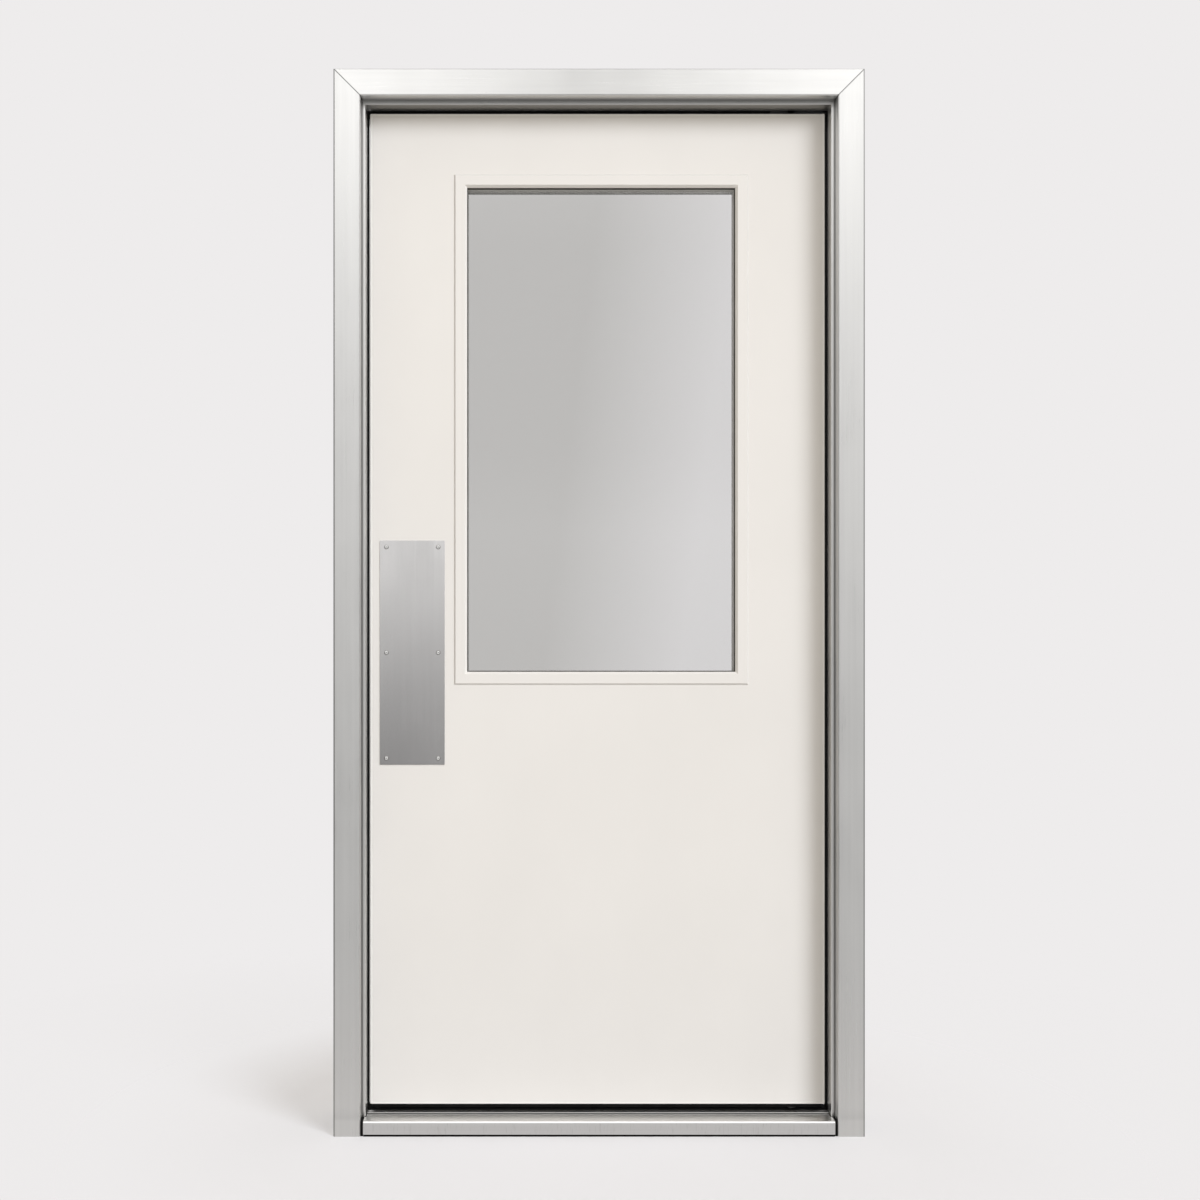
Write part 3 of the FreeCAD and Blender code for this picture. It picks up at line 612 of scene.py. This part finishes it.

# %% [markdown]
# ## Give each piece its finish
#
# The CAD pieces keep their shapes and take a finish by their slot. A few differ from the rest of their slot:
# the brushing of the frame's head runs across, along the piece, the upright jambs are brighter inside the
# frame and the head's jamb gets less painted shade, the saddle bars are painted darker than the threshold as
# painted shade, the top pivot's plate is painted black as shade, and the leaf's lippings are a little whiter
# than its skins. Two tables say so, which is easier to check than a test for each piece.

# %% Dress the CAD pieces
FINISH_OF_SLOT = {
    "satin_steel": upright_steel,
    "plate_steel": plate_steel,
    "pivot_steel": pivot_steel,
    "threshold_aluminium": threshold_aluminium,
    "black_rubber": black_rubber,
    "glazing_rubber": gasket_rubber,
    "leaf_laminate": leaf_laminate,
    "bead_laminate": bead_plastic,
    "core_foam": core_foam,
    "vision_glass": vision_glass,
}
FINISH_OF_PIECE = {
    "jamb_left": jamb_steel,
    "jamb_right": jamb_steel,
    "jamb_head": soffit_steel,
    "front_casing_head": head_steel,
    "rear_casing_head": head_steel,
    "threshold_saddle": shaded_saddle_metal,
    "top_pivot_plate": shade_black_steel,
    "toe_edge": lipping_plastic,
    "heel_edge": lipping_plastic,
    "top_rail": lipping_plastic,
    "bottom_rail": lipping_plastic,
}
slot_of = {part["node"]: part["material_slot"] for part in frame["record"]["subparts"]}
for name, piece in nodes.items():
    piece.data.materials.clear()
    piece.data.materials.append(FINISH_OF_PIECE.get(name, FINISH_OF_SLOT[slot_of[name]]))
print(f"{len(nodes)} pieces dressed, {len(FINISH_OF_PIECE)} of them apart from their slot")

# %% [markdown]
# ## Screws
#
# Six oval-head screws hold each push plate. A screw head is a shallow dome with a
# rolled rim and a cross-shaped recess. The dome is a profile turned about its axis, and
# the recess is a tapered cross cut out of it, as a punch would make it. A painted cross
# would look flat from the side, and real metal under the recess catches the light.

# %% Turn a dome
# Each pair is a ring's share of the radius and of the rise, from the back to the crown.
DOME_PROFILE = [(1.0, 0.0), (1.0, 0.18), (0.97, 0.34), (0.88, 0.56), (0.7, 0.8), (0.42, 0.95), (0.2, 1.0)]


def turned_dome(radius, rise, segments=40):
    """A closed dome of revolution, with its flat back at z = 0 and its crown at +Z."""
    mesh = bmesh.new()
    rings = []
    for reach, height in DOME_PROFILE:
        rings.append([
            mesh.verts.new((radius * reach * math.cos(turn), radius * reach * math.sin(turn), rise * height))
            for turn in (2 * math.pi * step / segments for step in range(segments))
        ])
    for lower, upper in zip(rings, rings[1:]):
        for i in range(segments):
            mesh.faces.new((lower[i], lower[(i + 1) % segments], upper[(i + 1) % segments], upper[i]))
    mesh.faces.new(list(reversed(rings[0])))
    mesh.faces.new(rings[-1])
    return mesh


print(f"a dome has {len(DOME_PROFILE)} rings, from its back to its crown")

# %% Punch the recess
def cross_punch(arm, half_width, depth, top, taper=0.55):
    """A cross that narrows downwards, to cut the recess with."""
    mesh = bmesh.new()
    outline = []
    for quarter in range(4):
        turn = Matrix.Rotation(quarter * math.pi / 2, 3, "Z")
        outline += [turn @ Vector(corner) for corner in (
            (half_width, half_width, 0), (half_width, arm, 0), (-half_width, arm, 0),
        )]
    high = [mesh.verts.new((p.x, p.y, top)) for p in outline]
    low = [mesh.verts.new((p.x * taper, p.y * taper, top - depth)) for p in outline]
    count = len(outline)
    for i in range(count):
        mesh.faces.new((high[i], high[(i + 1) % count], low[(i + 1) % count], low[i]))
    mesh.faces.new(list(reversed(high)))
    mesh.faces.new(low)
    bmesh.ops.recalc_face_normals(mesh, faces=mesh.faces)
    return mesh


def object_from(mesh, name):
    """Turns a bmesh into an object in the scene."""
    data = bpy.data.meshes.new(name)
    mesh.to_mesh(data)
    mesh.free()
    made = bpy.data.objects.new(name, data)
    bpy.context.scene.collection.objects.link(made)
    return made


def screw_head(radius, rise):
    """The mesh of one head, with its cross recess; only its large flat back stays flat."""
    head = object_from(turned_dome(radius, rise), "screw_blank")
    cross = cross_punch(arm=radius * 0.52, half_width=radius * 0.11, depth=rise * 0.75, top=rise * 1.2)
    punch = object_from(cross, "cross_punch")
    cut = head.modifiers.new("recess", "BOOLEAN")
    cut.operation = "DIFFERENCE"
    cut.object = punch
    shape = bpy.data.meshes.new_from_object(head.evaluated_get(bpy.context.evaluated_depsgraph_get()))
    for spare in (head, punch):
        bpy.data.objects.remove(spare)
    large = (radius * 0.3) ** 2
    for face in shape.polygons:
        face.use_smooth = face.area < large
    return shape


plate_screw = screw_head(radius=4.5 * MM, rise=1.4 * MM)
small_screw = screw_head(radius=3.2 * MM, rise=0.6 * MM)
print(f"a push plate screw has {len(plate_screw.polygons)} faces")

# %% [markdown]
# ## Put the screws in
#
# The heads of one row are joined into one object, because they belong to one plate and
# never move apart. Each sits on the face that carries it, sunk by a hair so that no gap
# shows, and is turned by its own angle, as a row of real screws is.

# %% Rows of screws
SUNK = 0.1 * MM
PLATE_INSET = 13 * MM
START_DEGREES, STEP_DEGREES = 12, 37


def screw_row(name, head, finish, places, outward, body):
    """Copies of a head on a face that looks outward, joined into one piece."""
    row = bmesh.new()
    facing = Vector(outward).to_track_quat("Z", "Y").to_matrix().to_4x4()
    for number, place in enumerate(places):
        one = bmesh.new()
        one.from_mesh(head)
        twist = Matrix.Rotation(math.radians(STEP_DEGREES * number + START_DEGREES), 4, "Z")
        seat = Matrix.Translation(Vector(place) - Vector(outward) * SUNK)
        bmesh.ops.transform(one, matrix=seat @ facing @ twist, verts=one.verts)
        copy = bpy.data.meshes.new("one_screw")
        one.to_mesh(copy)
        one.free()
        row.from_mesh(copy)
        bpy.data.meshes.remove(copy)
    made = object_from(row, name)
    made.data.materials.append(finish)
    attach(made, body)


for side, outward in (("front", (0, -1, 0)), ("rear", (0, 1, 0))):
    low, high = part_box(f"{side}_push_plate")
    face_y = low.y if side == "front" else high.y
    heights = (low.z + PLATE_INSET, (low.z + high.z) / 2, high.z - PLATE_INSET)
    places = [(x, face_y, z) for z in heights for x in (low.x + PLATE_INSET, high.x - PLATE_INSET)]
    screw_row(f"{side}_push_plate_screws", plate_screw, screw_steel, places, outward, "leaf")
    print(f"{side} push plate: {len(places)} screws")

# %% [markdown]
# The threshold is screwed down through its saddle bars, near its left end, where the
# photograph shows one head, and in the middle. The floor pivot holds its right end. The
# top pivot's plate is screwed up into the head. These heads have the same profile as the
# others, only smaller and almost flush, so that the leaf clears them.

# %% Screws of the threshold and the top pivot
SADDLE_SCREWS_X = (-0.425, 0.0)
SADDLE_INSET = 7.5 * MM
PIVOT_SCREW_REACH = 32 * MM

saddle_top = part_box("threshold_saddle")[1]
from_middle = saddle_top.y - SADDLE_INSET
places = [(x, y, saddle_top.z) for x in SADDLE_SCREWS_X for y in (-from_middle, from_middle)]
screw_row("threshold_screws", small_screw, pivot_steel, places, (0, 0, 1), "frame")
print(f"threshold: {len(places)} screws")

low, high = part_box("floor_pivot_box")
pivot_x = ((low + high) / 2).x
head_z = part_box("seal_head")[0].z
places = [(pivot_x + x, 0, head_z) for x in (-PIVOT_SCREW_REACH, PIVOT_SCREW_REACH)]
screw_row("top_pivot_screws", small_screw, shade_black_steel, places, (0, 0, -1), "frame")
print(f"top pivot: {len(places)} screws, on a pivot {pivot_x:.3f} m from the middle")

# %% [markdown]
# ## Sealant at the floor, as painted shade
#
# The threshold is bedded on black sealant. A soft hollow line of it under each nose is partly the real
# bedding and partly a dark strip of painted shade, for the shadow line at the threshold's foot, and its edge
# wavers by a fraction of a millimetre. Each line is one profile, repeated along the doorway with a small
# change each time. A curve with a bevel would be quicker, but its section couldn't change along the way.

# %% Sealant lines
END_GAP = 1 * MM
WAVER = 0.25 * MM
STEPS = 240


def shade_sealant_line(name, outward):
    """A black strip of sealant and painted shade under one nose of the threshold; outward is -1 or 1 along
    Y.
    """
    low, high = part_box("threshold")
    nose, underside = high.y, low.z
    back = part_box("threshold_bedding")[1].y
    mesh = bmesh.new()
    rings = []
    for step in range(STEPS + 1):
        x = low.x + END_GAP + (high.x - low.x - 2 * END_GAP) * step / STEPS
        waver = WAVER * math.sin(step * 0.83) * math.sin(step * 0.19 + outward)
        foot = nose - 0.5 * MM + waver
        hollow = nose - 1.3 * MM + waver
        lip = nose - 0.4 * MM
        profile = [(back, 0), (foot, 0), (hollow, underside * 0.5), (lip, underside), (back, underside)]
        rings.append([mesh.verts.new((x, y * outward, z)) for y, z in profile])
    for near, far in zip(rings, rings[1:]):
        for i in range(len(near)):
            j = (i + 1) % len(near)
            mesh.faces.new((near[i], near[j], far[j], far[i]))
    mesh.faces.new(rings[0])
    mesh.faces.new(list(reversed(rings[-1])))
    bmesh.ops.recalc_face_normals(mesh, faces=mesh.faces)
    made = object_from(mesh, name)
    made.data.materials.append(black_rubber)
    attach(made, "frame")
    return made


# Black sealant strips, partly painted shade at the threshold's foot.
for side, outward in (("front", -1), ("rear", 1)):
    line = shade_sealant_line(f"{side}_floor_shade_sealant", outward)
    print(f"{line.name}: {len(line.data.polygons)} faces")

# %% [markdown]
# ## The floor
#
# The room is a plain pale one. The floor is a flat sheet that fades out into the pale
# backdrop, so that no horizon crosses the picture. It could be curved up into a wall
# instead, but a wall would stand in the way of the views from behind. The picture keeps
# the door's shadow near its foot, because the floor glows more with the distance from the
# door. Metal that mirrors the floor sees a share of that glow, too.

# %% Floor
FLOOR_HALF = 2.4
FADE_FROM, FADE_BY = 0.7, 1.9
SHADOW_FROM, SHADOW_BY = 0.66, 0.98
PALE_ROOM = linear("#EEECEC")


def fading_floor(name, colour, bounced):
    """A matt floor in one colour for the camera and a darker one for the light it returns."""
    material, tree, place = new_material(name)
    reach = add_node(tree, "ShaderNodeVectorMath", {0: place}, operation="LENGTH").outputs["Value"]
    faded_share = add_node(tree, "ShaderNodeMapRange", {
        "Value": reach, "From Min": FADE_FROM, "From Max": FADE_BY,
    }).outputs["Result"]
    path = add_node(tree, "ShaderNodeLightPath")
    seen = path.outputs["Is Camera Ray"]
    tone = add_node(tree, "ShaderNodeMix", {
        SHARE: seen, FIRST: linear(bounced), SECOND: linear(colour),
    }, data_type="RGBA").outputs[MIXED]
    mottle = grain(tree, place, (40, 40, 40), detail=2.0)
    dullness = add_node(tree, "ShaderNodeMapRange", {
        "Value": mottle, "From Min": 0.3, "From Max": 0.7, "To Min": 0.75, "To Max": 0.85,
    }).outputs["Result"]
    matt = add_node(tree, "ShaderNodeBsdfPrincipled", {
        "Base Color": tone, "Roughness": dullness, "Specular IOR Level": 0.2,
    })
    glow = add_node(tree, "ShaderNodeEmission", {"Color": PALE_ROOM, "Strength": 1.0})
    seen_glow = add_node(tree, "ShaderNodeMapRange", {
        "Value": reach, "From Min": SHADOW_FROM, "From Max": SHADOW_BY, "To Min": 0.33, "To Max": 0.85,
    }).outputs["Result"]
    mirrored_glow = add_node(tree, "ShaderNodeMapRange", {
        "Value": path.outputs["Is Glossy Ray"], "To Max": 0.62,
    }).outputs["Result"]
    lift = add_node(tree, "ShaderNodeMath", {
        0: seen, 1: seen_glow, 2: mirrored_glow,
    }, operation="MULTIPLY_ADD").outputs[0]
    lit = add_node(tree, "ShaderNodeMixShader", {0: lift, 1: matt.outputs[0], 2: glow.outputs[0]})
    clear = add_node(tree, "ShaderNodeBsdfTransparent")
    faded = add_node(tree, "ShaderNodeMixShader", {0: faded_share, 1: lit.outputs[0], 2: clear.outputs[0]})
    add_node(tree, "ShaderNodeOutputMaterial", {"Surface": faded.outputs[0]})
    return material


floor_mesh = bmesh.new()
bmesh.ops.create_grid(floor_mesh, x_segments=12, y_segments=12, size=FLOOR_HALF)
floor = object_from(floor_mesh, "studio_floor")
floor.data.materials.append(fading_floor("matt_pale_floor", "#F2F1F4", "#B8B8B8"))
print(f"floor {2 * FLOOR_HALF} m square, faded out by {FADE_BY} m from the door")

# %% [markdown]
# ## The room's light
#
# Metal shows its surroundings more than its own colour, so the room that the metal sees
# has its own brightness, which the camera and the matt surfaces don't see: a bright
# ceiling, a duller wall with a bright band just over the horizon, a dark foot, a duller
# side on the left and a gap in the ceiling just behind the door. That gives the uprights
# their fade from top to bottom. Large panels round the door could do the same, but they
# would show in the other views and in the glass.
#
# The camera sees an even pale backdrop, also through the pane. Matt surfaces get a soft
# fill, which is stronger low down behind the door, where no main light reaches.

# %% Follow a list of brightnesses
def graded(tree, value, stops):
    """A brightness that follows a value through a list of (value, brightness) stops."""
    low, high = stops[0][0], stops[-1][0]
    brightest = max(level for _, level in stops)
    along = add_node(tree, "ShaderNodeMapRange", {"Value": value, "From Min": low, "From Max": high})
    ramp = add_node(tree, "ShaderNodeValToRGB", {"Fac": along.outputs["Result"]})
    elements = ramp.color_ramp.elements
    elements.remove(elements[1])
    for number, (at, level) in enumerate(stops):
        place = (at - low) / (high - low)
        element = elements[0] if number == 0 else elements.new(place)
        element.position = place
        element.color = (*[level / brightest] * 3, 1)
    scaled = add_node(tree, "ShaderNodeMath", {0: ramp.outputs["Color"], 1: brightest}, operation="MULTIPLY")
    return scaled.outputs[0]


# Each stop is how high a direction points, as the sine of its angle, and the brightness
# there: the floor, the dark foot, the horizon, the bright band, the wall and the ceiling.
BRIGHTNESS_BY_HEIGHT = [
    (-0.21, 0.77), (-0.105, 0.28), (0.0, 0.59), (0.085, 1.12), (0.14, 0.64), (0.18, 0.66), (0.276, 0.81),
    (0.36, 1.98), (0.55, 1.75), (0.9, 1.7),
]
# From left to right, each stop is how far a direction points to the right, and a factor.
FACTOR_BY_SIDE = [(-0.9, 0.55), (-0.5, 0.9), (-0.12, 0.95), (0.23, 1.0), (0.6, 1.0), (0.9, 0.8)]
brightest_level = max(level for _, level in BRIGHTNESS_BY_HEIGHT)
print(f"mirror room: {len(BRIGHTNESS_BY_HEIGHT)} stops by height, the brightest at {brightest_level}")

# %% Mirror room
world = bpy.data.worlds.new("pale_studio")
bpy.context.scene.world = world
world.use_nodes = True
tree = world.node_tree
tree.nodes.clear()
path = add_node(tree, "ShaderNodeLightPath")
direction = add_node(tree, "ShaderNodeTexCoord").outputs["Generated"]
split = add_node(tree, "ShaderNodeSeparateXYZ", {"Vector": direction})
by_height = graded(tree, split.outputs["Z"], BRIGHTNESS_BY_HEIGHT)
by_side = graded(tree, split.outputs["X"], FACTOR_BY_SIDE)
both = add_node(tree, "ShaderNodeMath", {0: by_height, 1: by_side}, operation="MULTIPLY").outputs[0]
over_and_behind = add_node(tree, "ShaderNodeMath", {
    0: split.outputs["Y"], 1: 0.6, 2: split.outputs["Z"],
}, operation="MULTIPLY_ADD").outputs[0]
gap_above = add_node(tree, "ShaderNodeMapRange", {
    "Value": over_and_behind, "From Min": 1.0, "From Max": 1.13, "To Min": 1.0, "To Max": 0.4,
}).outputs["Result"]
mirrored = add_node(tree, "ShaderNodeMath", {0: both, 1: gap_above}, operation="MULTIPLY").outputs[0]
mirror_room = add_node(tree, "ShaderNodeBackground", {"Color": linear("#FFFFFF"), "Strength": mirrored})
print("mirror room: by height, by side, and the gap in the ceiling")

# %% Fill and backdrop
behind = add_node(tree, "ShaderNodeMapRange", {
    "Value": split.outputs["Y"], "From Min": 0.0, "From Max": 0.45,
}).outputs["Result"]
low_down = add_node(tree, "ShaderNodeMapRange", {
    "Value": split.outputs["Z"], "From Min": 0.1, "From Max": 0.5, "To Min": 1.0, "To Max": 0.0,
}).outputs["Result"]
behind_and_low = add_node(tree, "ShaderNodeMath", {0: behind, 1: low_down}, operation="MULTIPLY").outputs[0]
fill_colour = add_node(tree, "ShaderNodeMix", {
    SHARE: behind_and_low, FIRST: linear("#FFF9EE"), SECOND: linear("#FFFEFC"),
}, data_type="RGBA").outputs[MIXED]
fill_strength = add_node(tree, "ShaderNodeMapRange", {
    "Value": behind_and_low, "To Min": 0.63, "To Max": 1.3,
}).outputs["Result"]
fill = add_node(tree, "ShaderNodeBackground", {"Color": fill_colour, "Strength": fill_strength})
backdrop = add_node(tree, "ShaderNodeBackground", {"Color": PALE_ROOM, "Strength": 1.0})
for_surfaces = add_node(tree, "ShaderNodeMixShader", {
    0: path.outputs["Is Glossy Ray"], 1: fill.outputs[0], 2: mirror_room.outputs[0],
})
sees_backdrop = add_node(tree, "ShaderNodeMath", {
    0: path.outputs["Is Camera Ray"], 1: path.outputs["Is Transmission Ray"],
}, operation="MAXIMUM")
room = add_node(tree, "ShaderNodeMixShader", {
    0: sees_backdrop.outputs[0], 1: for_surfaces.outputs[0], 2: backdrop.outputs[0],
})
add_node(tree, "ShaderNodeOutputWorld", {"Surface": room.outputs[0]})
print("pale room: fill for matt surfaces, and backdrop")

# %% [markdown]
# ## The main light
#
# The main light comes from the right and from above, large and soft, so the leaf gets a
# soft shade under the head and along its right edge. A sun with a wide angle does that
# evenly over a tall door, and a lamp near it would fall off towards the floor. The metal
# doesn't mirror it, because the mirror room has its own bright ceiling.

# %% Main light
key = bpy.data.lights.new("soft_main_light", "SUN")
key.energy = 2.07
key.angle = math.radians(26)
key.color = linear("#F3F8FF")[:3]
main_light = bpy.data.objects.new("soft_main_light", key)
toward = Vector((0.56, -0.70, 0.45))
main_light.rotation_euler = toward.to_track_quat("Z", "Y").to_euler()
main_light.visible_glossy = False
bpy.context.scene.collection.objects.link(main_light)
print(f"main light {math.degrees(math.atan2(toward.z, toward.xy.length)):.0f} degrees up, on the right")
